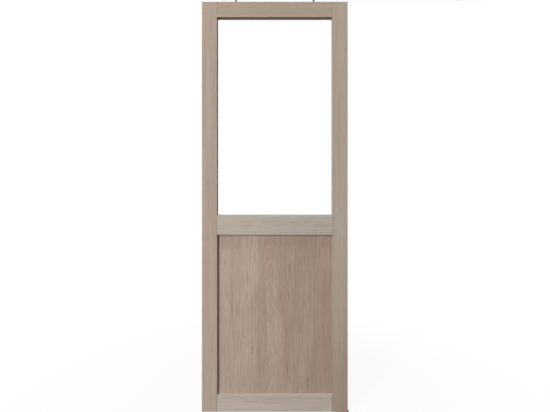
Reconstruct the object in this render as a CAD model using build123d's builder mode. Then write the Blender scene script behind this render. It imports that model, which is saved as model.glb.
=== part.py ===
"""Glazed sliding door: a half-glazed stile-and-rail leaf, hung by two roller hangers from a wall-fixed track.

Millimetres. X runs along the track, Y from the room at the front to the wall behind, and Z is up.
The origin is on the floor, where the floor guide stands, under the middle of the leaf's thickness.
The leaf is modelled closed, at the left end of its run, and it opens to the right.
"""

import os

from build123d import *

os.makedirs("parts", exist_ok=True)

# Leaf
leaf_width = 730.0
leaf_height = 2050.0
leaf_thickness = 40.0
floor_clearance = 8.0
stile_width = 77.0
top_rail_height = 77.0
middle_rail_height = 99.0
middle_rail_rise = 884.0  # from the leaf's foot to the middle rail's underside
bottom_rail_height = 85.0
outer_arris_radius = 4.0
inner_arris_radius = 2.0
joint_chamfer = 1.5  # eases the rail ends, so that each joint shows as a fine line

# Lower panel
panel_thickness = 10.0
panel_groove_depth = 12.0
panel_face_fit = 0.2
panel_edge_gap = 1.0

# Glazing
glass_thickness = 4.0
glass_edge_gap = 2.0
glass_arris = 0.6
rebate_depth = 12.0
front_lip_thickness = 12.0
tape_thickness = 2.0
tape_setback = 2.0  # from the sight line back to the tape
bead_fit = 0.2
bead_round_radius = 2.5
setting_block_length = 60.0
setting_block_share = 0.25  # of the opening's width, in from each side

# Dowel joints
dowel_diameter = 10.0
dowel_length = 80.0
dowel_fit = 0.1
dowel_end_gap = 1.0
dowel_end_chamfer = 1.5
top_rail_dowel_shares = (0.36, 0.74)
middle_rail_dowel_shares = (0.3, 0.7)
bottom_rail_dowel_shares = (0.42, 0.72)

# Guide channel and floor guide
channel_width = 12.0
channel_depth = 18.0
channel_wall = 1.2
channel_fit = 0.1
channel_end_inset = 3.0
guide_side_gap = 0.5
guide_top_gap = 3.0
guide_fin_length = 26.0
guide_fin_crown = 1.5
guide_base_length = 66.0
guide_base_width = 20.0
guide_base_thickness = 4.0
guide_corner_radius = 5.0
guide_hole_diameter = 4.5
guide_hole_spacing = 46.0
guide_countersink_diameter = 8.0
guide_overlap = 50.0  # length of leaf that still runs over the guide's place at either end of travel

# Hangers
mortise_end_gap = 10.0  # from the dowels' ends to the mortise of the hanger plate
hanger_gap = 26.0  # from the leaf's top to the track's underside
plate_length = 80.0
plate_width = 24.0
plate_thickness = 3.0
plate_corner_radius = 3.0
plate_screw_end_inset = 8.0
plate_screw_side_inset = 6.0
mortise_depth = 12.0
mortise_clearance = 1.0
boss_diameter = 14.0
boss_height = 8.0
boss_gap = 1.0
thread_fit = 0.1
screw_diameter = 4.0
screw_head_diameter = 7.6
screw_length = 35.0
screw_fit = 0.05
screw_sink_angle = 90.0
screw_drive_diameter = 3.0
screw_drive_depth = 1.4
bolt_diameter = 8.0
bolt_head_diameter = 13.0
bolt_head_height = 3.5
collar_across_flats = 13.0
collar_height = 5.0
collar_drop = 3.0  # from the track's underside down to the collar
nut_across_flats = 13.0
nut_height = 6.0
trolley_length = 70.0
trolley_height = 14.0
trolley_wall = 2.0
trolley_corner_radius = 5.0
axle_spacing = 44.0
axle_diameter = 5.0
axle_fit = 0.05
axle_head_diameter = 8.0
axle_head_thickness = 1.0
wheel_diameter = 19.0
wheel_width = 6.0
wheel_side_gap = 0.4
wheel_running_fit = 0.05
wheel_ledge_gap = 0.2
wheel_tread_radius = 0.8
wheel_hub_diameter = 9.0
wheel_rim_thickness = 2.6
wheel_web_recess = 0.8

# Track and its fixings
track_wall = 2.2
track_corner_radius = 0.8
track_side_gap = 1.2
track_head_room = 5.5
slot_clearance = 1.5
bracket_count = 4
bracket_inset = 60.0
bracket_width = 40.0
bracket_thickness = 4.0
bracket_front_overhang = 12.0
bracket_leg_height = 48.0
bracket_bend_radius = 4.0
bracket_corner_radius = 6.0
bracket_hole_diameter = 6.5
bracket_hole_spacing = 20.0
bracket_top_inset = 12.0
wall_gap = 12.0  # from the leaf's back to the wall
fixing_bolt_diameter = 6.0
fixing_head_diameter = 11.0
fixing_head_height = 3.3
fixing_fit = 0.25
fixing_nut_across_flats = 10.0
fixing_nut_height = 5.0
fixing_bolt_protrusion = 2.0
end_cap_thickness = 3.0
end_cap_plug_length = 10.0
end_cap_fit = 0.3
stop_length = 28.0
stop_height = 17.0
stop_side_gap = 0.4
buffer_diameter = 12.0
buffer_length = 8.0
buffer_dome_radius = 2.0
buffer_gap = 0.3
clamp_length = 24.0
clamp_thickness = 4.0
clamp_slot_overlap = 6.0
clamp_screw_diameter = 5.0
clamp_screw_head_diameter = 9.0
clamp_screw_head_height = 3.0
clamp_screw_grip = 10.0

# How far a cut runs past the face that it starts from
overrun = 1.0

# Leaf: places
leaf_travel = leaf_width - guide_overlap
leaf_centre = -leaf_travel / 2
leaf_left = leaf_centre - leaf_width / 2
leaf_front = -leaf_thickness / 2
leaf_back = leaf_thickness / 2
leaf_foot = floor_clearance
leaf_top = leaf_foot + leaf_height
rail_start = leaf_left + stile_width
rail_length = leaf_width - 2 * stile_width
rail_end = rail_start + rail_length
bottom_rail_top = leaf_foot + bottom_rail_height
middle_rail_foot = leaf_foot + middle_rail_rise
middle_rail_top = middle_rail_foot + middle_rail_height
top_rail_foot = leaf_top - top_rail_height
panel_opening_height = middle_rail_foot - bottom_rail_top
panel_opening_middle = (middle_rail_foot + bottom_rail_top) / 2
panel_groove_width = panel_thickness + 2 * panel_face_fit
glass_opening_height = top_rail_foot - middle_rail_top
glass_opening_middle = (top_rail_foot + middle_rail_top) / 2
glass_front = leaf_front + front_lip_thickness + tape_thickness
glass_back = glass_front + glass_thickness
rebate_width = leaf_thickness - front_lip_thickness
rebate_middle = leaf_front + front_lip_thickness + rebate_width / 2
bead_front = glass_back + tape_thickness
glass_inset = rebate_depth - glass_edge_gap
guide_groove_width = channel_width + 2 * channel_fit
guide_groove_depth = channel_depth + channel_fit
dowel_hole_depth = dowel_length / 2 + dowel_end_gap
dowel_hole_radius = dowel_diameter / 2 + dowel_fit
mortise_length = plate_length + 2 * mortise_clearance
mortise_width = plate_width + 2 * mortise_clearance
hanger_inset = dowel_hole_depth + mortise_end_gap + mortise_length / 2
hanger_places = {"left": rail_start + hanger_inset, "right": rail_end - hanger_inset}

# Track: places
trolley_width = bolt_diameter + 2 * trolley_wall
wheel_inner_side = trolley_width / 2 + wheel_side_gap
wheel_outer_side = wheel_inner_side + wheel_width
axle_half_length = wheel_outer_side + wheel_side_gap + axle_head_thickness
track_inner_width = 2 * (axle_half_length + track_side_gap)
track_inner_height = wheel_ledge_gap + wheel_diameter + track_head_room + fixing_head_height
track_width = track_inner_width + 2 * track_wall
track_height = track_inner_height + 2 * track_wall
track_length = 2 * leaf_width
slot_width = bolt_diameter + 2 * slot_clearance
track_foot = leaf_top + hanger_gap
track_ledge = track_foot + track_wall
track_ceiling = track_ledge + track_inner_height
track_top = track_foot + track_height
axle_rise = track_ledge + wheel_ledge_gap + wheel_diameter / 2
stop_face = leaf_travel / 2 + (hanger_places["right"] - leaf_centre) + trolley_length / 2 + buffer_gap
wall_face = leaf_back + wall_gap
bracket_pitch = (track_length - 2 * bracket_inset) / (bracket_count - 1)
bracket_start = bracket_inset - track_length / 2
bracket_places = [bracket_start + bracket_pitch * number for number in range(bracket_count)]
bracket_top = track_top + bracket_thickness
bracket_hole_middle = track_top + bracket_leg_height - bracket_top_inset - bracket_hole_spacing / 2
fixing_spots = [(place, 0) for place in bracket_places]


def save(piece, name):
    """Names a finished piece and writes it to its own file."""
    piece.part.label = name
    export_step(piece.part, f"parts/{name}.step")


def level_plane(height):
    """A level sketch plane: local x is X, local y is Y, and it extrudes upwards."""
    return Plane.XY.offset(height)


def upright_plane(depth):
    """An upright sketch plane at that depth: local x is X, local y is Z, and it extrudes to the front."""
    return Plane.XZ.offset(-depth)


def cross_plane(place):
    """A plane across the track at that place: local x is Y, local y is Z, and it extrudes to the right."""
    return Plane.YZ.offset(place)


# Stiles
def dowel_places(rail_foot, rail_height, shares):
    """Points, in a cross plane, where a rail's dowels lie."""
    return [(0, rail_foot + rail_height * share) for share in shares]


all_dowel_places = [
    *dowel_places(leaf_foot, bottom_rail_height, bottom_rail_dowel_shares),
    *dowel_places(middle_rail_foot, middle_rail_height, middle_rail_dowel_shares),
    *dowel_places(top_rail_foot, top_rail_height, top_rail_dowel_shares),
]

with BuildPart() as stile_left:
    with BuildSketch(level_plane(leaf_foot)):
        with Locations((leaf_left + stile_width / 2, 0)):
            Rectangle(stile_width, leaf_thickness)
    extrude(amount=leaf_height)
    fillet(stile_left.edges().filter_by(Axis.Z).group_by(Axis.X)[0], outer_arris_radius)
    fillet(stile_left.edges().filter_by(Axis.Z).group_by(Axis.X)[-1], inner_arris_radius)
    with BuildSketch(cross_plane(rail_start)):
        with Locations((0, panel_opening_middle)):
            Rectangle(panel_groove_width, panel_opening_height + 2 * panel_groove_depth)
    extrude(amount=-panel_groove_depth, mode=Mode.SUBTRACT)
    with BuildSketch(cross_plane(rail_start + overrun)):
        with Locations((rebate_middle + overrun / 2, glass_opening_middle)):
            Rectangle(rebate_width + overrun, glass_opening_height + 2 * rebate_depth)
    extrude(amount=-(rebate_depth + overrun), mode=Mode.SUBTRACT)
    with BuildSketch(cross_plane(rail_start)):
        with Locations(*all_dowel_places):
            Circle(dowel_hole_radius)
    extrude(amount=-dowel_hole_depth, mode=Mode.SUBTRACT)
    with BuildSketch(cross_plane(leaf_left - overrun)):
        with Locations((0, leaf_foot + (guide_groove_depth - overrun) / 2)):
            Rectangle(guide_groove_width, guide_groove_depth + overrun)
    extrude(amount=stile_width + 2 * overrun, mode=Mode.SUBTRACT)
save(stile_left, "stile_left")

with BuildPart() as stile_right:
    mirror(stile_left.part, about=cross_plane(leaf_centre))
save(stile_right, "stile_right")


# Rails
def rail(foot, height, hollows, shares):
    """One rail: its profile with grooves and rebates, eased arrises, and dowel holes in both ends.

    The leaf's own top and foot stay square, as they are at the ends of the stiles.
    """
    with BuildPart() as block:
        with BuildSketch(cross_plane(rail_start)):
            with Locations((0, foot + height / 2)):
                Rectangle(leaf_thickness, height)
            for hollow_middle, hollow_foot, hollow_width, hollow_height in hollows:
                with Locations((hollow_middle, hollow_foot + hollow_height / 2)):
                    Rectangle(hollow_width, hollow_height, mode=Mode.SUBTRACT)
        extrude(amount=rail_length)
        long_edges = block.edges().filter_by(Axis.X)
        arrises = long_edges.filter_by_position(Axis.Z, leaf_foot, leaf_top, (False, False)).group_by(Axis.Y)
        fillet(arrises[0] + arrises[-1], inner_arris_radius)
        end_arrises = block.edges().filter_by(Axis.Z).group_by(Axis.Y)
        chamfer(end_arrises[0] + end_arrises[-1], joint_chamfer)
        for end, depth in ((rail_start, dowel_hole_depth), (rail_end, -dowel_hole_depth)):
            with BuildSketch(cross_plane(end)):
                with Locations(*dowel_places(foot, height, shares)):
                    Circle(dowel_hole_radius)
            extrude(amount=depth, mode=Mode.SUBTRACT)
    return block


top_rail_hollows = [(rebate_middle, top_rail_foot, rebate_width, rebate_depth)]
middle_rail_hollows = [
    (rebate_middle, middle_rail_top - rebate_depth, rebate_width, rebate_depth),
    (0, middle_rail_foot, panel_groove_width, panel_groove_depth),
]
bottom_rail_hollows = [
    (0, bottom_rail_top - panel_groove_depth, panel_groove_width, panel_groove_depth),
    (0, leaf_foot, guide_groove_width, guide_groove_depth),
]
save(rail(middle_rail_foot, middle_rail_height, middle_rail_hollows, middle_rail_dowel_shares), "middle_rail")
save(rail(leaf_foot, bottom_rail_height, bottom_rail_hollows, bottom_rail_dowel_shares), "bottom_rail")

# Top rail, with a mortise, a boss pocket and screw holes for each hanger plate
screw_length_spacing = plate_length - 2 * plate_screw_end_inset
screw_width_spacing = plate_width - 2 * plate_screw_side_inset
plate_foot = leaf_top - mortise_depth
plate_top = plate_foot + plate_thickness
boss_foot = plate_foot - boss_height

with BuildPart() as top_rail:
    add(rail(top_rail_foot, top_rail_height, top_rail_hollows, top_rail_dowel_shares))
    for hanger_place in hanger_places.values():
        with BuildSketch(level_plane(leaf_top)):
            with Locations((hanger_place, 0)):
                RectangleRounded(mortise_length, mortise_width, plate_corner_radius + mortise_clearance)
        extrude(amount=-mortise_depth, mode=Mode.SUBTRACT)
        with BuildSketch(level_plane(plate_foot)):
            with Locations((hanger_place, 0)):
                Circle(boss_diameter / 2 + boss_gap)
        extrude(amount=-(boss_height + boss_gap), mode=Mode.SUBTRACT)
        with BuildSketch(level_plane(plate_foot)):
            with Locations((hanger_place, 0)):
                with GridLocations(screw_length_spacing, screw_width_spacing, 2, 2):
                    Circle(screw_diameter / 2 + screw_fit)
        extrude(amount=-screw_length, mode=Mode.SUBTRACT)
save(top_rail, "top_rail")

with BuildPart() as frame_dowels:
    for joint in (rail_start, rail_end):
        with BuildSketch(cross_plane(joint)):
            with Locations(*all_dowel_places):
                Circle(dowel_diameter / 2)
        extrude(amount=dowel_length / 2, both=True)
    chamfer(frame_dowels.edges().filter_by(GeomType.CIRCLE), dowel_end_chamfer)
save(frame_dowels, "frame_dowels")

# Lower panel, held in grooves on all four sides
panel_reach = panel_groove_depth - panel_edge_gap

with BuildPart() as lower_panel:
    with BuildSketch(upright_plane(panel_thickness / 2)):
        with Locations((leaf_centre, panel_opening_middle)):
            Rectangle(rail_length + 2 * panel_reach, panel_opening_height + 2 * panel_reach)
    extrude(amount=panel_thickness)
save(lower_panel, "lower_panel")

# Glass, with its tapes, setting blocks and beads
glass_width = rail_length + 2 * glass_inset
glass_height = glass_opening_height + 2 * glass_inset
tape_inner_width = rail_length + 2 * tape_setback
tape_inner_height = glass_opening_height + 2 * tape_setback

with BuildPart() as glass_pane:
    with BuildSketch(upright_plane(glass_back)):
        with Locations((leaf_centre, glass_opening_middle)):
            Rectangle(glass_width, glass_height)
    extrude(amount=glass_thickness)
    chamfer(glass_pane.edges().filter_by(Axis.Y, reverse=True), glass_arris)
save(glass_pane, "glass_pane")

with BuildPart() as glazing_tape:
    for tape_back in (glass_front, bead_front):
        with BuildSketch(upright_plane(tape_back)):
            with Locations((leaf_centre, glass_opening_middle)):
                Rectangle(glass_width - 2 * glass_arris, glass_height - 2 * glass_arris)
                Rectangle(tape_inner_width, tape_inner_height, mode=Mode.SUBTRACT)
        extrude(amount=tape_thickness)
save(glazing_tape, "glazing_tape")

with BuildPart() as setting_blocks:
    with BuildSketch(level_plane(middle_rail_top - rebate_depth)):
        with Locations((leaf_centre, (glass_front + glass_back) / 2)):
            with GridLocations(rail_length * (1 - 2 * setting_block_share), 0, 2, 1):
                Rectangle(setting_block_length, glass_thickness)
    extrude(amount=glass_edge_gap)
save(setting_blocks, "setting_blocks")


def glazing_bead(length, place, along):
    """One mitred bead along a side of the opening. Its sight edge is rounded on the wall side."""
    outer_length = length + 2 * (rebate_depth - bead_fit)
    bead_width = rebate_depth - bead_fit
    sight_point = (place[0], leaf_back, place[1])
    bead_plane = Plane(origin=sight_point, x_dir=along, z_dir=(0, -1, 0))
    with BuildPart() as bead:
        with BuildSketch(bead_plane):
            with BuildLine():
                Polyline(
                    (-length / 2, 0),
                    (length / 2, 0),
                    (outer_length / 2, bead_width),
                    (-outer_length / 2, bead_width),
                    close=True,
                )
            make_face()
        extrude(amount=leaf_back - bead_front)
        fillet(bead.edges().sort_by_distance(sight_point)[0], bead_round_radius)
    return bead


bead_sides = {
    "top": (rail_length, (leaf_centre, top_rail_foot), (1, 0, 0)),
    "bottom": (rail_length, (leaf_centre, middle_rail_top), (-1, 0, 0)),
    "left": (glass_opening_height, (rail_start, glass_opening_middle), (0, 0, 1)),
    "right": (glass_opening_height, (rail_end, glass_opening_middle), (0, 0, -1)),
}
for side, (length, place, along) in bead_sides.items():
    save(glazing_bead(length, place, along), f"glazing_bead_{side}")

# Guide channel in the leaf's foot
channel_inner_width = channel_width - 2 * channel_wall

with BuildPart() as guide_channel:
    with BuildSketch(cross_plane(leaf_left + channel_end_inset)):
        with Locations((0, leaf_foot + channel_depth / 2)):
            Rectangle(channel_width, channel_depth)
        with Locations((0, leaf_foot + (channel_depth - channel_wall) / 2)):
            Rectangle(channel_inner_width, channel_depth - channel_wall, mode=Mode.SUBTRACT)
    extrude(amount=leaf_width - 2 * channel_end_inset)
save(guide_channel, "guide_channel")

# Floor guide, which stays put under the leaf
guide_fin_thickness = channel_inner_width - 2 * guide_side_gap
guide_fin_top = leaf_foot + channel_depth - channel_wall - guide_top_gap

with BuildPart() as floor_guide:
    with BuildSketch(level_plane(0)):
        RectangleRounded(guide_base_length, guide_base_width, guide_corner_radius)
    extrude(amount=guide_base_thickness)
    with BuildSketch(level_plane(guide_base_thickness)):
        SlotOverall(guide_fin_length, guide_fin_thickness)
    extrude(amount=guide_fin_top - guide_base_thickness)
    fillet(floor_guide.faces().sort_by(Axis.Z)[-1].edges(), guide_fin_crown)
    with Locations(level_plane(guide_base_thickness)):
        with GridLocations(guide_hole_spacing, 0, 2, 1):
            CounterSinkHole(
                guide_hole_diameter / 2, guide_countersink_diameter / 2, depth=guide_base_thickness + overrun
            )
save(floor_guide, "floor_guide")

# Hangers: plates, screws, bolts and lock nuts
thread_radius = bolt_diameter / 2 + thread_fit
trolley_top = axle_rise + trolley_height / 2
screw_head_height = (screw_head_diameter - screw_diameter) / 2
screw_hole_radius = screw_diameter / 2 + screw_fit
screw_sink_radius = screw_head_diameter / 2 + screw_fit


def hanger_plate(place):
    """Plate with a threaded boss, let into the top rail."""
    with BuildPart() as plate:
        with BuildSketch(level_plane(plate_foot)):
            with Locations((place, 0)):
                RectangleRounded(plate_length, plate_width, plate_corner_radius)
        extrude(amount=plate_thickness)
        with BuildSketch(level_plane(boss_foot)):
            with Locations((place, 0)):
                Circle(boss_diameter / 2)
        extrude(amount=boss_height)
        with BuildSketch(level_plane(boss_foot)):
            with Locations((place, 0)):
                Circle(thread_radius)
        extrude(amount=boss_height + plate_thickness, mode=Mode.SUBTRACT)
        with Locations(level_plane(plate_top)):
            with Locations((place, 0)):
                with GridLocations(screw_length_spacing, screw_width_spacing, 2, 2):
                    CounterSinkHole(screw_hole_radius, screw_sink_radius, plate_thickness, screw_sink_angle)
    return plate


def suspension_bolt(place):
    """Bolt that hangs by its head in the trolley, with a spanner collar under the track."""
    with BuildPart() as bolt:
        with BuildSketch(level_plane(boss_foot)):
            with Locations((place, 0)):
                Circle(bolt_diameter / 2)
        extrude(amount=trolley_top - boss_foot)
        with BuildSketch(level_plane(trolley_top)):
            with Locations((place, 0)):
                Circle(bolt_head_diameter / 2)
        extrude(amount=bolt_head_height)
        with BuildSketch(level_plane(track_foot - collar_drop)):
            with Locations((place, 0)):
                RegularPolygon(collar_across_flats / 2, 6, major_radius=False)
        extrude(amount=-collar_height)
    return bolt


def lock_nut(place):
    """Hexagon nut on the plate."""
    with BuildPart() as nut:
        with BuildSketch(level_plane(plate_top)):
            with Locations((place, 0)):
                RegularPolygon(nut_across_flats / 2, 6, major_radius=False)
                Circle(thread_radius, mode=Mode.SUBTRACT)
        extrude(amount=nut_height)
    return nut


with BuildPart() as hanger_screws:
    screw_tip = plate_top - screw_length
    for hanger_place in hanger_places.values():
        with BuildSketch(level_plane(screw_tip)):
            with Locations((hanger_place, 0)):
                with GridLocations(screw_length_spacing, screw_width_spacing, 2, 2):
                    Circle(screw_diameter / 2)
        extrude(amount=screw_length - screw_head_height)
        with Locations(level_plane(plate_top - screw_head_height / 2)):
            with Locations((hanger_place, 0)):
                with GridLocations(screw_length_spacing, screw_width_spacing, 2, 2):
                    Cone(screw_diameter / 2, screw_head_diameter / 2, screw_head_height)
        with BuildSketch(level_plane(plate_top)):
            with Locations((hanger_place, 0)):
                with GridLocations(screw_length_spacing, screw_width_spacing, 2, 2):
                    RegularPolygon(screw_drive_diameter / 2, 6)
        extrude(amount=-screw_drive_depth, mode=Mode.SUBTRACT)
save(hanger_screws, "hanger_screws")


# Hangers: trolleys with their axles and wheels
def trolley_body(place):
    """Block between the wheels, bored for the axles and the suspension bolt."""
    with BuildPart() as body:
        with BuildSketch(upright_plane(trolley_width / 2)):
            with Locations((place, axle_rise)):
                RectangleRounded(trolley_length, trolley_height, trolley_corner_radius)
                with GridLocations(axle_spacing, 0, 2, 1):
                    Circle(axle_diameter / 2 + axle_fit, mode=Mode.SUBTRACT)
        extrude(amount=trolley_width)
        with BuildSketch(level_plane(axle_rise - trolley_height / 2)):
            with Locations((place, 0)):
                Circle(thread_radius)
        extrude(amount=trolley_height, mode=Mode.SUBTRACT)
    return body


def trolley_axles(place):
    """Two headed pins across the trolley."""
    with BuildPart() as axles:
        with BuildSketch(upright_plane(0)):
            with Locations((place, axle_rise)):
                with GridLocations(axle_spacing, 0, 2, 1):
                    Circle(axle_diameter / 2)
        extrude(amount=axle_half_length, both=True)
        for head_back in (axle_half_length, axle_head_thickness - axle_half_length):
            with BuildSketch(upright_plane(head_back)):
                with Locations((place, axle_rise)):
                    with GridLocations(axle_spacing, 0, 2, 1):
                        Circle(axle_head_diameter / 2)
            extrude(amount=axle_head_thickness)
    return axles


def wheel(place, back):
    """One moulded wheel with a rim, a thinner web and a hub. Its wall-side face lies at that depth."""
    with BuildPart() as roller:
        with BuildSketch(upright_plane(back)):
            with Locations((place, axle_rise)):
                Circle(wheel_diameter / 2)
        extrude(amount=wheel_width)
        fillet(roller.edges().filter_by(GeomType.CIRCLE), wheel_tread_radius)
        for web_back in (back, back - wheel_width + wheel_web_recess):
            with BuildSketch(upright_plane(web_back)):
                with Locations((place, axle_rise)):
                    Circle(wheel_diameter / 2 - wheel_rim_thickness)
                    Circle(wheel_hub_diameter / 2, mode=Mode.SUBTRACT)
            extrude(amount=wheel_web_recess, mode=Mode.SUBTRACT)
        with BuildSketch(upright_plane(back)):
            with Locations((place, axle_rise)):
                Circle(axle_diameter / 2 + wheel_running_fit)
        extrude(amount=wheel_width, mode=Mode.SUBTRACT)
    return roller


wheel_backs = {"front": -wheel_inner_side, "back": wheel_outer_side}

for side, hanger_place in hanger_places.items():
    save(hanger_plate(hanger_place), f"hanger_plate_{side}")
    save(suspension_bolt(hanger_place), f"suspension_bolt_{side}")
    save(lock_nut(hanger_place), f"lock_nut_{side}")
    save(trolley_body(hanger_place), f"trolley_body_{side}")
    save(trolley_axles(hanger_place), f"trolley_axles_{side}")
    axle_places = {"first": hanger_place - axle_spacing / 2, "second": hanger_place + axle_spacing / 2}
    for axle, axle_place in axle_places.items():
        for row, back in wheel_backs.items():
            save(wheel(axle_place, back), f"wheel_{side}_{axle}_{row}")

# Track: a channel with a slot along its underside
with BuildPart() as track:
    with BuildSketch(cross_plane(-track_length / 2)):
        with Locations((0, track_foot + track_height / 2)):
            RectangleRounded(track_width, track_height, track_corner_radius)
            RectangleRounded(track_inner_width, track_inner_height, track_corner_radius, mode=Mode.SUBTRACT)
        with Locations((0, track_foot + track_wall / 2)):
            Rectangle(slot_width, track_wall, mode=Mode.SUBTRACT)
    extrude(amount=track_length)
    with BuildSketch(level_plane(track_top)):
        with Locations(*fixing_spots):
            Circle(fixing_bolt_diameter / 2 + fixing_fit)
    extrude(amount=-track_wall, mode=Mode.SUBTRACT)
save(track, "track")


# Wall brackets, and the bolts and nuts that hold the track to them
def wall_bracket(place):
    """Angle bracket: a level leg on the track and an upright leg against the wall."""
    with BuildPart() as bracket:
        with BuildSketch(cross_plane(place - bracket_width / 2)):
            with BuildLine():
                FilletPolyline(
                    (-bracket_front_overhang, track_top),
                    (wall_face, track_top),
                    (wall_face, track_top + bracket_leg_height),
                    radius=bracket_bend_radius + bracket_thickness,
                )
                offset(amount=bracket_thickness, side=Side.LEFT)
            make_face()
        extrude(amount=bracket_width)
        upper_corners = bracket.edges().filter_by(Axis.Y).group_by(Axis.Z)[-1]
        front_corners = bracket.edges().filter_by(Axis.Z).group_by(Axis.Y)[0]
        fillet(upper_corners + front_corners, bracket_corner_radius)
        with BuildSketch(level_plane(track_top)):
            with Locations((place, 0)):
                Circle(fixing_bolt_diameter / 2 + fixing_fit)
        extrude(amount=bracket_thickness, mode=Mode.SUBTRACT)
        with BuildSketch(upright_plane(wall_face)):
            with Locations((place, bracket_hole_middle)):
                with GridLocations(0, bracket_hole_spacing, 1, 2):
                    Circle(bracket_hole_diameter / 2)
        extrude(amount=bracket_thickness, mode=Mode.SUBTRACT)
    return bracket


for number, bracket_place in enumerate(bracket_places, start=1):
    save(wall_bracket(bracket_place), f"wall_bracket_{number}")

with BuildPart() as track_bolts:
    with BuildSketch(level_plane(track_ceiling)):
        with Locations(*fixing_spots):
            Circle(fixing_head_diameter / 2)
    extrude(amount=-fixing_head_height)
    fillet(track_bolts.faces().group_by(Axis.Z)[0].edges(), fixing_head_height / 2)
    with BuildSketch(level_plane(track_ceiling)):
        with Locations(*fixing_spots):
            Circle(fixing_bolt_diameter / 2)
    extrude(amount=bracket_top + fixing_nut_height + fixing_bolt_protrusion - track_ceiling)
save(track_bolts, "track_bolts")

with BuildPart() as track_nuts:
    with BuildSketch(level_plane(bracket_top)):
        with Locations(*fixing_spots):
            RegularPolygon(fixing_nut_across_flats / 2, 6, major_radius=False)
            Circle(fixing_bolt_diameter / 2 + thread_fit, mode=Mode.SUBTRACT)
    extrude(amount=fixing_nut_height)
save(track_nuts, "track_nuts")

# End stops: a block on the track's ledges, a buffer, and a clamp drawn up under the slot
stop_start = stop_face + buffer_length
stop_middle = stop_start + stop_length / 2
clamp_width = slot_width + 2 * clamp_slot_overlap
clamp_foot = track_foot - clamp_thickness
clamp_hole_radius = clamp_screw_diameter / 2 + thread_fit
stop_spots = [(-stop_middle, 0), (stop_middle, 0)]

with BuildPart() as stop_block:
    with BuildSketch(cross_plane(stop_start)):
        with Locations((0, track_ledge + stop_height / 2)):
            Rectangle(track_inner_width - 2 * stop_side_gap, stop_height)
    extrude(amount=stop_length)
    chamfer(stop_block.edges().filter_by(Axis.X), track_corner_radius)
    with BuildSketch(level_plane(track_ledge)):
        with Locations((stop_middle, 0)):
            Circle(clamp_hole_radius)
    extrude(amount=clamp_screw_grip + overrun, mode=Mode.SUBTRACT)

with BuildPart() as stop_buffer:
    with BuildSketch(cross_plane(stop_start)):
        with Locations((0, axle_rise)):
            Circle(buffer_diameter / 2)
    extrude(amount=-buffer_length)
    fillet(stop_buffer.edges().group_by(Axis.X)[0], buffer_dome_radius)

with BuildPart() as stop_clamps:
    with BuildSketch(level_plane(clamp_foot)):
        with Locations(*stop_spots):
            Rectangle(clamp_length, clamp_width)
            Circle(clamp_hole_radius, mode=Mode.SUBTRACT)
    extrude(amount=clamp_thickness)
save(stop_clamps, "stop_clamps")

with BuildPart() as stop_screws:
    with BuildSketch(level_plane(clamp_foot)):
        with Locations(*stop_spots):
            Circle(clamp_screw_head_diameter / 2)
    extrude(amount=-clamp_screw_head_height)
    fillet(stop_screws.faces().group_by(Axis.Z)[0].edges(), clamp_screw_head_height / 2)
    with BuildSketch(level_plane(clamp_foot)):
        with Locations(*stop_spots):
            Circle(clamp_screw_diameter / 2)
    extrude(amount=track_ledge + clamp_screw_grip - clamp_foot)
save(stop_screws, "stop_screws")

# End caps: a plate over the track's end, with a plug inside it
with BuildPart() as end_cap:
    with BuildSketch(cross_plane(track_length / 2)):
        with Locations((0, track_foot + track_height / 2)):
            RectangleRounded(track_width, track_height, track_corner_radius)
    extrude(amount=end_cap_thickness)
    with BuildSketch(cross_plane(track_length / 2)):
        with Locations((0, track_foot + track_height / 2)):
            Rectangle(track_inner_width - 2 * end_cap_fit, track_inner_height - 2 * end_cap_fit)
    extrude(amount=-end_cap_plug_length)
    chamfer(end_cap.edges().filter_by(Axis.X).group_by(SortBy.LENGTH)[-1], track_corner_radius)

end_pieces = {"track_stop": stop_block, "stop_buffer": stop_buffer, "track_end_cap": end_cap}
for name, right_piece in end_pieces.items():
    save(right_piece, f"{name}_right")
    with BuildPart() as left_piece:
        mirror(right_piece.part, about=Plane.YZ)
    save(left_piece, f"{name}_left")
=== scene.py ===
import math

import bpy
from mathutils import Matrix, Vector


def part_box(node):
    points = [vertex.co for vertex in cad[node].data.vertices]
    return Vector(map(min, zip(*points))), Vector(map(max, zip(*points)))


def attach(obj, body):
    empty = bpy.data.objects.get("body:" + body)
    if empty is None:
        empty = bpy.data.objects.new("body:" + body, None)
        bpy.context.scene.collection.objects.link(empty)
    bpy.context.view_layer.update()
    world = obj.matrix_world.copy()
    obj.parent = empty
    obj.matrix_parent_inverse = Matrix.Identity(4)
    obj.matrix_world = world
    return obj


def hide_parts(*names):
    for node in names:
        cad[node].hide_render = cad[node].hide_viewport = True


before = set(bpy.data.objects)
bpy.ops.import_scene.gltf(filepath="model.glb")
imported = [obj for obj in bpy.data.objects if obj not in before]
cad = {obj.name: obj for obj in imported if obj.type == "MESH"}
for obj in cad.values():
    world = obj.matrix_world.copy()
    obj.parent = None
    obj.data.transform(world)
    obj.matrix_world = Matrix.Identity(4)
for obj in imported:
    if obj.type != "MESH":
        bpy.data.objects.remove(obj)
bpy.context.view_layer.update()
print("frame loaded:", len(cad), "nodes")

mm = 0.001
scene = bpy.context.scene
scene.view_settings.view_transform = "Standard"


def hexColour(code):
    # sRGB hex to the linear values that the shaders take
    channels = [int(code[i:i + 2], 16) / 255 for i in (0, 2, 4)]
    linear = [c / 12.92 if c <= 0.04045 else ((c + 0.055) / 1.055) ** 2.4 for c in channels]
    return (*linear, 1.0)


def patternScale(*sizesMm):
    # a pattern's scale along X, Y and Z from its real sizes
    return tuple(1 / (size * mm) for size in sizesMm)


def addNode(tree, kind, settings=None, values=None, links=None):
    # settings are the node's own options, values its unlinked sockets, links what feeds the others
    node = tree.nodes.new(kind)
    for name, value in (settings or {}).items():
        setattr(node, name, value)
    for socket, value in (values or {}).items():
        node.inputs[socket].default_value = value
    for socket, source in (links or {}).items():
        tree.links.new(source, node.inputs[socket])
    return node


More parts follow.
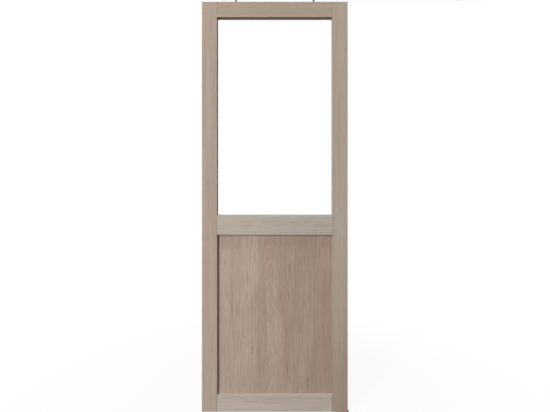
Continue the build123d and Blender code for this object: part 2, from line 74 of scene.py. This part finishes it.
def newMaterial(name):
    material = bpy.data.materials.new(name)
    material.use_nodes = True
    tree = material.node_tree
    tree.nodes.clear()
    return material, tree


def paint(material, *names):
    for name in names:
        cad[name].data.materials.clear()
        cad[name].data.materials.append(material)


def archLines(tree, along, look):
    # nested arches of a flat-sawn board: a parabola across the grain, drawn out along it
    apart = addNode(tree, "ShaderNodeSeparateXYZ", links={"Vector": along})
    across = addNode(tree, "ShaderNodeMath", {"operation": "SUBTRACT"}, {1: look["archMiddle"]},
                     {0: apart.outputs["X"]})
    arms = addNode(tree, "ShaderNodeMath", {"operation": "MULTIPLY"}, {1: 1 / (look["archMm"] * mm)},
                   {0: across.outputs["Value"]}).outputs["Value"]
    square = addNode(tree, "ShaderNodeMath", {"operation": "MULTIPLY"}, links={0: arms, 1: arms})
    rise = addNode(tree, "ShaderNodeMath", {"operation": "MULTIPLY_ADD"}, {1: 1 / (look["archRiseMm"] * mm)},
                   {0: apart.outputs["Z"], 2: square.outputs["Value"]})
    # the arches wander, so that no two are alike
    size = patternScale(look["wanderMm"], look["wanderMm"], look["wanderLongMm"])
    drift = addNode(tree, "ShaderNodeMapping", values={"Scale": size}, links={"Vector": along})
    wander = addNode(tree, "ShaderNodeTexNoise", values={"Scale": 1.0, "Detail": 2.0, "Roughness": 0.5},
                     links={"Vector": drift.outputs["Vector"]})
    phase = addNode(tree, "ShaderNodeMath", {"operation": "MULTIPLY_ADD"}, {1: look["archWander"]},
                    {0: wander.outputs["Fac"], 2: rise.outputs["Value"]})
    # each ring runs up and down again within one step of the phase
    ring = addNode(tree, "ShaderNodeMath", {"operation": "PINGPONG"}, {1: 0.5}, {0: phase.outputs["Value"]})
    crest, edge = look["archReach"]
    return addNode(tree, "ShaderNodeMapRange", {"interpolation_type": "SMOOTHSTEP"},
                   {"From Min": crest, "From Max": edge}, {"Value": ring.outputs["Value"]}).outputs["Result"]


# Oak decor: a printed foil on board, pressed with a fine pore. It is matt, with soft long streaks
# and only a faint sheen.
def oakDecor(name, look):
    material, tree = newMaterial(name)
    place = addNode(tree, "ShaderNodeTexCoord").outputs["Object"]
    turn = {"Z": (0, 0, 0), "X": (0, math.radians(-90), 0)}[look["grainAxis"]]
    straight = addNode(tree, "ShaderNodeMapping", values={"Rotation": turn, "Location": look["offset"]},
                       links={"Vector": place}).outputs["Vector"]
    # the lines of the grain bend gently to either side
    slowSize = patternScale(look["swayMm"], look["swayMm"], look["swayLongMm"])
    slow = addNode(tree, "ShaderNodeMapping", values={"Scale": slowSize}, links={"Vector": straight})
    sway = addNode(tree, "ShaderNodeTexNoise", values={"Scale": 1.0, "Detail": 1.0},
                   links={"Vector": slow.outputs["Vector"]})
    along = addNode(tree, "ShaderNodeVectorMath", {"operation": "MULTIPLY_ADD"},
                    {1: (look["bendMm"] * mm, look["bendMm"] * mm, 0)},
                    {0: sway.outputs["Color"], 2: straight}).outputs["Vector"]

    def streakMask(layer, detail=1.0, roughness=0.5, warp=0.0, least=0.0):
        # noise drawn out along the grain at the layer's own size, with its reach spread to the full range
        size = patternScale(look[layer + "Mm"], look[layer + "Mm"], look[layer + "LongMm"])
        stretched = addNode(tree, "ShaderNodeMapping", values={"Scale": size}, links={"Vector": along})
        noise = addNode(tree, "ShaderNodeTexNoise",
                        values={"Scale": 1.0, "Detail": detail, "Roughness": roughness, "Distortion": warp},
                        links={"Vector": stretched.outputs["Vector"]})
        low, high = look[layer + "Reach"]
        return addNode(tree, "ShaderNodeMapRange", {"interpolation_type": "SMOOTHSTEP"},
                       {"From Min": low, "From Max": high, "To Min": least},
                       {"Value": noise.outputs["Fac"]}).outputs["Result"]

    def layOver(below, mask, strength, colour):
        amount = addNode(tree, "ShaderNodeMath", {"operation": "MULTIPLY"}, {1: strength}, {0: mask})
        return addNode(tree, "ShaderNodeMix", {"data_type": "RGBA"}, {7: hexColour(colour)},
                       {0: amount.outputs["Value"], 6: below}).outputs[2]

    bands = streakMask("band", roughness=0.4, warp=0.2)
    base = addNode(tree, "ShaderNodeMix", {"data_type": "RGBA"},
                   {6: hexColour(look["light"]), 7: hexColour(look["dark"])}, {0: bands}).outputs[2]
    base = layOver(base, streakMask("tint", detail=0.0), look["tintStrength"], look["tint"])
    if look["paintedShadeStrength"]:
        # painted shade: one end or side of the board is drawn a little darker, where less light falls on it
        reach = addNode(tree, "ShaderNodeVectorMath", {"operation": "DOT_PRODUCT"}, {1: look["paintedShadeAxis"]},
                        {0: place})
        shade = addNode(tree, "ShaderNodeMapRange", {"interpolation_type": "SMOOTHSTEP"},
                        {"From Min": look["paintedShadeStart"], "From Max": look["paintedShadeEnd"]},
                        {"Value": reach.outputs["Value"]})
        base = layOver(base, shade.outputs["Result"], look["paintedShadeStrength"], look["paintedShadeColour"])
    grain = streakMask("grain", detail=2.0, warp=0.1)
    if look["zoneCalm"]:
        # the grain runs close in some zones and leaves calm stretches between them
        zones = streakMask("zone", least=1 - look["zoneCalm"])
        grain = addNode(tree, "ShaderNodeMath", {"operation": "MULTIPLY"},
                        links={0: grain, 1: zones}).outputs["Value"]
    base = layOver(base, grain, look["grainStrength"], look["grainColour"])
    base = layOver(base, streakMask("dash"), look["dashStrength"], look["grainColour"])
    base = layOver(base, streakMask("fleck"), look["fleckStrength"], look["fleckColour"])
    if look["archStrength"]:
        figure = addNode(tree, "ShaderNodeMath", {"operation": "MULTIPLY"},
                         links={0: archLines(tree, along, look), 1: streakMask("patch")})
        base = layOver(base, figure.outputs["Value"], look["archStrength"], look["grainColour"])
    pores = streakMask("pore")
    base = layOver(base, pores, look["poreStrength"], look["poreColour"])

    bump = addNode(tree, "ShaderNodeBump", {"invert": True},
                   {"Strength": look["poreBump"], "Distance": look["poreDepthMm"] * mm}, {"Height": pores})
    smooth, rough = look["roughness"]
    sheen = addNode(tree, "ShaderNodeMapRange", values={"To Min": smooth, "To Max": rough},
                    links={"Value": grain})
    shader = addNode(tree, "ShaderNodeBsdfPrincipled",
                     values={"IOR": look["ior"], "Specular IOR Level": look["specular"]},
                     links={"Base Color": base, "Roughness": sheen.outputs["Result"],
                            "Normal": bump.outputs["Normal"]})
    addNode(tree, "ShaderNodeOutputMaterial", links={"Surface": shader.outputs["BSDF"]})
    return material


decor = {
    "grainAxis": "Z", "offset": (0, 0, 0), "roughness": (0.67, 0.78), "ior": 1.48, "specular": 0.15,
    # how far the grain bends aside, and how slowly
    "bendMm": 6.0, "swayMm": 90.0, "swayLongMm": 260.0,
    # bands from the light to the dark tone, under larger clouds of a tint
    "light": "a99a8b", "dark": "a19284", "bandMm": 24.0, "bandLongMm": 720.0, "bandReach": (0.36, 0.64),
    "tint": "aa9684", "tintStrength": 0.4, "tintMm": 120.0, "tintLongMm": 340.0, "tintReach": (0.4, 0.62),
    # long fine lines, shorter dark dashes and pale flecks
    "grainColour": "8b7867", "grainStrength": 0.1, "grainMm": 9.0, "grainLongMm": 405.0,
    "grainReach": (0.48, 0.7),
    "dashStrength": 0.18, "dashMm": 4.2, "dashLongMm": 118.0, "dashReach": (0.57, 0.7),
    "fleckColour": "bdae9e", "fleckStrength": 0.16, "fleckMm": 3.8, "fleckLongMm": 100.0,
    "fleckReach": (0.57, 0.7),
    # pressed pores, which show only close up
    "poreColour": "7a6858", "poreStrength": 0.22, "poreMm": 0.7, "poreLongMm": 12.0,
    "poreReach": (0.58, 0.7), "poreBump": 0.35, "poreDepthMm": 0.12,
    # painted shade towards one end or side where less light falls, calm zones and arches, which only some
    # boards have
    "paintedShadeStrength": 0.0, "zoneCalm": 0.0, "archStrength": 0.0,
}
leftStileLook = {**decor, "light": "ac9e91", "dark": "a4968b", "tint": "ae9a8c"}
rightStileLook = {
    **decor, "light": "afa599", "dark": "a89d91", "tint": "ac9b8c",
    # painted shade: darker towards its foot, where less light falls, over these heights in metres
    "paintedShadeStrength": 0.4, "paintedShadeColour": "8e7460", "paintedShadeAxis": (0, 0, -1), "paintedShadeStart": -0.85,
    "paintedShadeEnd": -0.05,
}
topRailLook = {**decor, "grainAxis": "X", "offset": (0.31, 0.2, 0.7), "light": "a99d8d", "dark": "a49787"}
middleRailLook = {
    **decor, "grainAxis": "X", "offset": (0.9, 0.4, 0.2), "light": "b6b0a5", "dark": "b0a99f",
    "tint": "b6ab9d", "bandMm": 40.0, "bandLongMm": 1200.0, "grainStrength": 0.14, "dashStrength": 0.34,
    "fleckStrength": 0.3, "fleckColour": "c9c1b6",
}
bottomRailLook = {**middleRailLook, "offset": (0.5, 0.7, 0.1), "light": "bab0a6", "dark": "b3a89e"}
panelLook = {
    **decor, "offset": (0.0, 0.3, 0.0), "bendMm": 4.0,
    "light": "b1a295", "dark": "ab988d", "bandMm": 34.0, "bandLongMm": 1020.0, "tint": "ac968a",
    "grainColour": "8a7666", "grainStrength": 0.4, "grainMm": 5.0, "grainLongMm": 460.0,
    "zoneCalm": 0.8, "zoneMm": 52.0, "zoneLongMm": 520.0, "zoneReach": (0.42, 0.6),
    "dashStrength": 0.72, "dashMm": 3.2, "dashLongMm": 90.0, "dashReach": (0.61, 0.69),
    "fleckColour": "c6b8aa", "fleckStrength": 0.24, "fleckMm": 5.0, "fleckLongMm": 230.0,
    "fleckReach": (0.56, 0.68),
    # painted shade: darker towards its right side, where less light falls, between these places in metres
    "paintedShadeStrength": 0.3, "paintedShadeColour": "7f6a5a", "paintedShadeAxis": (1, 0, 0), "paintedShadeStart": -0.42,
    "paintedShadeEnd": -0.06,
    # arches about one upright line, seen in patches
    "archStrength": 0.2, "archMiddle": -0.36, "archMm": 42.0, "archRiseMm": 95.0, "archReach": (0.5, 0.28),
    "archWander": 2.6, "wanderMm": 55.0, "wanderLongMm": 260.0,
    "patchMm": 80.0, "patchLongMm": 300.0, "patchReach": (0.42, 0.6),
}
paint(oakDecor("oakDecorLeftStile", leftStileLook), "stile_left", "glazing_bead_left")
paint(oakDecor("oakDecorRightStile", rightStileLook), "stile_right", "glazing_bead_right")
paint(oakDecor("oakDecorTopRail", topRailLook), "top_rail", "glazing_bead_top")
paint(oakDecor("oakDecorMiddleRail", middleRailLook), "middle_rail", "glazing_bead_bottom")
paint(oakDecor("oakDecorBottomRail", bottomRailLook), "bottom_rail")
paint(oakDecor("oakDecorPanel", panelLook), "lower_panel")
print("oak decor done")


# Float glass: flat and clear, with the faintest green. Lamp light passes it.
def floatGlass(look):
    material, tree = newMaterial("floatGlass")
    colour = hexColour(look["colour"])
    pane = addNode(tree, "ShaderNodeBsdfPrincipled",
                   values={"Base Color": colour, "Roughness": 0.0, "IOR": look["ior"],
                           "Transmission Weight": 1.0})
    clear = addNode(tree, "ShaderNodeBsdfTransparent", values={"Color": colour})
    path = addNode(tree, "ShaderNodeLightPath")
    through = addNode(tree, "ShaderNodeMath", {"operation": "MAXIMUM"},
                      links={0: path.outputs["Is Shadow Ray"], 1: path.outputs["Is Diffuse Ray"]})
    mixed = addNode(tree, "ShaderNodeMixShader",
                    links={0: through.outputs["Value"], 1: pane.outputs["BSDF"], 2: clear.outputs["BSDF"]})
    addNode(tree, "ShaderNodeOutputMaterial", links={"Surface": mixed.outputs["Shader"]})
    return material


glassLook = {"colour": "fefffe", "ior": 1.52}
paint(floatGlass(glassLook), "glass_pane")
print("glass done")


plainPattern = {"detail": 3.0, "detailRoughness": 0.55, "reach": (0.3, 0.7)}  # shared by all plain finishes


# A plain solid finish with a fine surface: moulded grit, drawn lines or a mottle, whichever its sizes say.
def plainFinish(name, look):
    material, tree = newMaterial(name)
    place = addNode(tree, "ShaderNodeTexCoord").outputs["Object"]
    stretched = addNode(tree, "ShaderNodeMapping", values={"Scale": patternScale(*look["patternMm"])},
                        links={"Vector": place})
    pattern = addNode(tree, "ShaderNodeTexNoise",
                      values={"Scale": 1.0, "Detail": plainPattern["detail"],
                              "Roughness": plainPattern["detailRoughness"]},
                      links={"Vector": stretched.outputs["Vector"]}).outputs["Fac"]
    tone = addNode(tree, "ShaderNodeMix", {"data_type": "RGBA"},
                   {6: hexColour(look["dark"]), 7: hexColour(look["light"])}, {0: pattern})
    # the middle of the noise runs from the smoothest to the roughest of the finish
    low, high = plainPattern["reach"]
    gloss = addNode(tree, "ShaderNodeMapRange",
                    values={"From Min": low, "From Max": high,
                            "To Min": look["roughness"] - look["roughSpread"],
                            "To Max": look["roughness"] + look["roughSpread"]},
                    links={"Value": pattern})
    bump = addNode(tree, "ShaderNodeBump",
                   values={"Strength": look["bump"], "Distance": look["bumpMm"] * mm},
                   links={"Height": pattern})
    values = {"Metallic": look["metallic"]}
    if not look["metallic"]:
        values["IOR"] = look["ior"]
    shader = addNode(tree, "ShaderNodeBsdfPrincipled", values=values,
                     links={"Base Color": tone.outputs[2], "Roughness": gloss.outputs["Result"],
                            "Normal": bump.outputs["Normal"]})
    addNode(tree, "ShaderNodeOutputMaterial", links={"Surface": shader.outputs["BSDF"]})
    return material


finishes = {
    # extruded and anodised: a satin grey metal with long die lines
    "anodisedAluminium": {
        "light": "9fa2a6", "dark": "888b90", "patternMm": (160.0, 0.6, 0.6), "metallic": 1.0,
        "roughness": 0.42, "roughSpread": 0.08, "bump": 0.12, "bumpMm": 0.05,
        "nodes": ("track", "guide_channel"),
    },
    # zinc plate on steel: a cool grey metal with a cloudy bloom
    "zincPlatedSteel": {
        "light": "a3a7ac", "dark": "7f838a", "patternMm": (7.0, 7.0, 7.0), "metallic": 1.0,
        "roughness": 0.38, "roughSpread": 0.1, "bump": 0.06, "bumpMm": 0.05,
        "nodes": ("hanger_plate_left", "hanger_plate_right", "hanger_screws", "suspension_bolt_left",
                  "suspension_bolt_right", "lock_nut_left", "lock_nut_right", "stop_clamps", "stop_screws",
                  "track_bolts", "track_nuts", "wall_bracket_1", "wall_bracket_2", "wall_bracket_3",
                  "wall_bracket_4"),
    },
    # ground steel pin: fine rings from the grinding
    "groundSteel": {
        "light": "a0a1a4", "dark": "868789", "patternMm": (4.0, 0.4, 4.0), "metallic": 1.0,
        "roughness": 0.25, "roughSpread": 0.06, "bump": 0.08, "bumpMm": 0.03,
        "nodes": ("trolley_axles_left", "trolley_axles_right"),
    },
    # glass-filled nylon, moulded: dull black with a fine spark-eroded grit
    "blackNylon": {
        "light": "2b2b2d", "dark": "1d1d1f", "patternMm": (0.8, 0.8, 0.8), "metallic": 0.0,
        "roughness": 0.6, "roughSpread": 0.08, "bump": 0.25, "bumpMm": 0.08, "ior": 1.53,
        "nodes": ("trolley_body_left", "trolley_body_right", "track_stop_left", "track_stop_right"),
    },
    # natural nylon, moulded: warm white and waxy
    "whiteNylon": {
        "light": "e4e0d4", "dark": "d6d1c3", "patternMm": (2.5, 2.5, 2.5), "metallic": 0.0,
        "roughness": 0.38, "roughSpread": 0.05, "bump": 0.06, "bumpMm": 0.05, "ior": 1.53,
        "nodes": tuple(name for name in cad if name.startswith("wheel_")),
    },
    # grey acetal, moulded: an even mid grey, lightly textured
    "greyAcetal": {
        "light": "8f9193", "dark": "7f8183", "patternMm": (0.9, 0.9, 0.9), "metallic": 0.0,
        "roughness": 0.5, "roughSpread": 0.06, "bump": 0.2, "bumpMm": 0.06, "ior": 1.48,
        "nodes": ("track_end_cap_left", "track_end_cap_right", "floor_guide"),
    },
    # moulded rubber: almost black, no shine
    "blackRubber": {
        "light": "1e1d1c", "dark": "141413", "patternMm": (1.2, 1.2, 1.2), "metallic": 0.0,
        "roughness": 0.82, "roughSpread": 0.08, "bump": 0.3, "bumpMm": 0.06, "ior": 1.5,
        "nodes": ("stop_buffer_left", "stop_buffer_right", "setting_blocks"),
    },
    # foam tape: dull brown grey with an open cell
    "foamTape": {
        "light": "5c554d", "dark": "4a443d", "patternMm": (1.0, 1.0, 1.0), "metallic": 0.0,
        "roughness": 0.9, "roughSpread": 0.05, "bump": 0.4, "bumpMm": 0.15, "ior": 1.45,
        "nodes": ("glazing_tape",),
    },
    # bare beech: pale pinkish wood with short dark flecks along the dowel
    "bareBeech": {
        "light": "d9b993", "dark": "c79f77", "patternMm": (14.0, 1.0, 1.0), "metallic": 0.0,
        "roughness": 0.65, "roughSpread": 0.06, "bump": 0.2, "bumpMm": 0.08, "ior": 1.48,
        "nodes": ("frame_dowels",),
    },
}
for name, look in finishes.items():
    paint(plainFinish(name, look), *look["nodes"])
print("metal, plastic, rubber, foam and beech done")

# Suspension bolts with their rolled thread, which shows between the collar and the lock nut
bolt = {
    "shankMm": 8.0, "headMm": 13.0, "easeMm": 0.4,
    "collarMm": 13.0, "collarHeightMm": 5.0, "collarDropMm": 3.0,
    "pitchMm": 1.25, "threadDepthMm": 0.65, "flatShare": 0.125, "runOutMm": 2.0,
    "columns": 48, "ringsPerPitch": 8, "sharpAngle": 35.0, "material": "zincPlatedSteel",
}


def threadHeight(turns, flat):
    # 1 on the crest of the thread, 0 at its root, with a flat on each and straight flanks between them
    fromCrest = abs(turns % 1.0 - 0.5) * 2
    return min(1.0, max(0.0, (1 - flat - fromCrest) / (1 - 2 * flat)))


def boltRings(side, look):
    # rings of points from the tip of the bolt up to its head
    low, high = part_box(f"suspension_bolt_{side}")
    middle = (low + high) / 2
    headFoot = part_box(f"trolley_body_{side}")[1].z
    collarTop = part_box("track")[0].z - look["collarDropMm"] * mm
    collarFoot = collarTop - look["collarHeightMm"] * mm
    threadLength = collarFoot - low.z
    shank, head, flat = look["shankMm"] * mm / 2, look["headMm"] * mm / 2, look["collarMm"] * mm / 2
    ease, pitch, depth = look["easeMm"] * mm, look["pitchMm"] * mm, look["threadDepthMm"] * mm
    fullTurn, sixth = 2 * math.pi, math.pi / 3
    angles = [fullTurn * i / look["columns"] for i in range(look["columns"])]
    hexagon = [flat / math.cos(angle % sixth - sixth / 2) for angle in angles]
    turned = [min(radius, flat + ease) for radius in hexagon]
    rings = []

    def addRing(height, radii):
        rings.append([(middle.x + radius * math.cos(angle), middle.y + radius * math.sin(angle), height)
                      for angle, radius in zip(angles, radii)])

    def addCircle(height, radius):
        addRing(height, [radius] * len(angles))

    # thread from the tip to the collar; its grooves fade out under the collar
    addCircle(low.z, shank - depth)
    count = round(threadLength / pitch * look["ringsPerPitch"])
    for step in range(1, count):
        rise = threadLength * step / count
        groove = depth * min(1.0, (threadLength - rise) / (look["runOutMm"] * mm))
        heights = [threadHeight(rise / pitch - angle / fullTurn, look["flatShare"]) for angle in angles]
        addRing(low.z + rise, [shank - groove * (1 - height) for height in heights])
    addCircle(collarFoot, shank)
    # spanner collar: a hexagon with its corners turned off at both faces
    addRing(collarFoot, turned)
    addRing(collarFoot + ease, hexagon)
    addRing(collarTop - ease, hexagon)
    addRing(collarTop, turned)
    # plain shank and round head
    addCircle(collarTop, shank)
    addCircle(headFoot, shank)
    addCircle(headFoot, head)
    addCircle(high.z - ease, head)
    addCircle(high.z, head - ease)
    return rings


def threadedBolt(side, look):
    rings = boltRings(side, look)
    columns = look["columns"]
    foot, top = range(columns), range((len(rings) - 1) * columns, len(rings) * columns)
    faces = [tuple(reversed(foot)), tuple(top)]
    for start in range(0, top.start, columns):
        for i in range(columns):
            j = (i + 1) % columns
            faces.append((start + i, start + j, start + columns + j, start + columns + i))
    name = f"threadedBolt_{side}"
    mesh = bpy.data.meshes.new(name)
    mesh.from_pydata([point for ring in rings for point in ring], [], faces)
    mesh.shade_smooth()
    mesh.set_sharp_from_angle(angle=math.radians(look["sharpAngle"]))
    mesh.materials.append(bpy.data.materials[look["material"]])
    piece = bpy.data.objects.new(name, mesh)
    scene.collection.objects.link(piece)
    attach(piece, "leaf")
    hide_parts(f"suspension_bolt_{side}")


for side in ("left", "right"):
    threadedBolt(side, bolt)
print("threaded bolts done")

# Floor, world and lamps, in metres and watts
studio = {
    "ambient": 0.2, "ambientColour": "fff3ec", "white": 1.0,
    "floorColour": "d2d0cd", "floorReach": 6.0, "floorWhite": 0.9, "floorMiddle": (-0.34, 0.0, 0.0),
    "fadeStart": 0.5, "fadeEnd": 1.8,
}
lamps = {
    "keyLamp": {"place": (-5.07, -7.10, 4.3), "aim": (-0.34, 0.0, 1.05), "width": 1.0, "height": 6.0,
                "power": 625.0, "mirrored": False},
    "fillLamp": {"place": (-2.6, -2.2, 0.3), "aim": (-0.34, 0.0, 0.95), "width": 1.2, "height": 1.6,
                 "power": 33.0, "mirrored": False},
    "topLamp": {"place": (-0.34, -1.6, 9.5), "aim": (-0.34, 0.0, 1.0), "width": 1.5, "height": 1.5,
                "power": 310.0, "mirrored": True},
    "backLamp": {"place": (-4.6, 5.6, 2.2), "aim": (-0.34, 0.0, 1.05), "width": 2.0, "height": 2.0,
                 "power": 320.0, "mirrored": False},
    # a slim strip in the plane of the leaf, which lights its right edge and nothing in front
    "edgeLamp": {"place": (5.0, 0.0, 1.3), "aim": (-0.34, 0.0, 1.1), "width": 0.1, "height": 2.2,
                 "power": 110.0, "mirrored": False},
}


def seenWhite(tree):
    # 1 where the surface is seen by the camera, in a reflection or through glass
    path = addNode(tree, "ShaderNodeLightPath")
    pair = addNode(tree, "ShaderNodeMath", {"operation": "MAXIMUM"},
                   links={0: path.outputs["Is Camera Ray"], 1: path.outputs["Is Glossy Ray"]})
    return addNode(tree, "ShaderNodeMath", {"operation": "MAXIMUM"},
                   links={0: pair.outputs["Value"], 1: path.outputs["Is Transmission Ray"]}).outputs["Value"]


def buildWorld(look):
    world = bpy.data.worlds.new("studioWhite")
    world.use_nodes = True
    tree = world.node_tree
    tree.nodes.clear()
    light = addNode(tree, "ShaderNodeBackground",
                    values={"Color": hexColour(look["ambientColour"]), "Strength": look["ambient"]})
    white = addNode(tree, "ShaderNodeBackground", values={"Color": (1, 1, 1, 1), "Strength": look["white"]})
    mixed = addNode(tree, "ShaderNodeMixShader",
                    links={0: seenWhite(tree), 1: light.outputs["Background"],
                           2: white.outputs["Background"]})
    addNode(tree, "ShaderNodeOutputWorld", links={"Surface": mixed.outputs["Shader"]})
    scene.world = world


def buildFloor(look):
    reach = look["floorReach"]
    mesh = bpy.data.meshes.new("studioFloor")
    mesh.from_pydata([(-reach, -reach, 0), (reach, -reach, 0), (reach, reach, 0), (-reach, reach, 0)], [],
                     [(0, 1, 2, 3)])
    floor = bpy.data.objects.new("studioFloor", mesh)
    scene.collection.objects.link(floor)
    material, tree = newMaterial("paleFloor")
    painted = addNode(tree, "ShaderNodeBsdfDiffuse", values={"Color": hexColour(look["floorColour"])})
    white = addNode(tree, "ShaderNodeEmission", values={"Strength": look["white"]})
    # the floor turns to the plain white of the background away from the foot
    place = addNode(tree, "ShaderNodeTexCoord").outputs["Object"]
    away = addNode(tree, "ShaderNodeVectorMath", {"operation": "DISTANCE"}, {1: look["floorMiddle"]},
                   {0: place})
    fade = addNode(tree, "ShaderNodeMapRange", {"interpolation_type": "SMOOTHSTEP"},
                   {"From Min": look["fadeStart"], "From Max": look["fadeEnd"],
                    "To Min": look["floorWhite"]}, {"Value": away.outputs["Value"]})
    share = addNode(tree, "ShaderNodeMath", {"operation": "MULTIPLY"},
                    links={0: seenWhite(tree), 1: fade.outputs["Result"]})
    mixed = addNode(tree, "ShaderNodeMixShader",
                    links={0: share.outputs["Value"], 1: painted.outputs["BSDF"],
                           2: white.outputs["Emission"]})
    addNode(tree, "ShaderNodeOutputMaterial", links={"Surface": mixed.outputs["Shader"]})
    mesh.materials.append(material)
    # the floor catches the shadow but throws no light up under the rails
    floor.visible_diffuse = False


def addLamp(name, look):
    lamp = bpy.data.lights.new(name, "AREA")
    lamp.shape = "RECTANGLE"
    lamp.size = look["width"]
    lamp.size_y = look["height"]
    lamp.energy = look["power"]
    holder = bpy.data.objects.new(name, lamp)
    holder.location = look["place"]
    holder.rotation_euler = (Vector(look["aim"]) - Vector(look["place"])).to_track_quat("-Z", "Y").to_euler()
    # no lamp is seen straight on or through the glass, and only some are mirrored in metal and glass
    holder.visible_camera = False
    holder.visible_transmission = False
    holder.visible_glossy = look["mirrored"]
    scene.collection.objects.link(holder)


buildWorld(studio)
buildFloor(studio)
for name, look in lamps.items():
    addLamp(name, look)
print("studio done")

# Camera, square on to the leaf; pixels are those of the photograph, lengths are in metres
view = {
    "distance": 2.0, "height": 1.155, "sensorMm": 36.0, "photoWidth": 550, "photoHeight": 412,
    "leafLeftPixel": 201.75, "leafRightPixel": 347.8, "leafTopPixel": 1.7,
}


def buildCamera(look):
    leafLow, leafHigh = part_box("stile_left")[0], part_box("stile_right")[1]
    metresPerPixel = (leafHigh.x - leafLow.x) / (look["leafRightPixel"] - look["leafLeftPixel"])
    frameWidth = look["photoWidth"] * metresPerPixel
    middleX = leafLow.x + (look["photoWidth"] / 2 - look["leafLeftPixel"]) * metresPerPixel
    middleZ = leafHigh.z - (look["photoHeight"] / 2 - look["leafTopPixel"]) * metresPerPixel
    camera = bpy.data.cameras.new("photoCamera")
    camera.sensor_width = look["sensorMm"]
    camera.lens = look["sensorMm"] * look["distance"] / frameWidth
    camera.shift_y = (middleZ - look["height"]) / frameWidth
    holder = bpy.data.objects.new("photoCamera", camera)
    holder.location = (middleX, leafLow.y - look["distance"], look["height"])
    holder.rotation_euler = (math.radians(90), 0, 0)
    scene.collection.objects.link(holder)
    scene.camera = holder


buildCamera(view)
print("camera done")
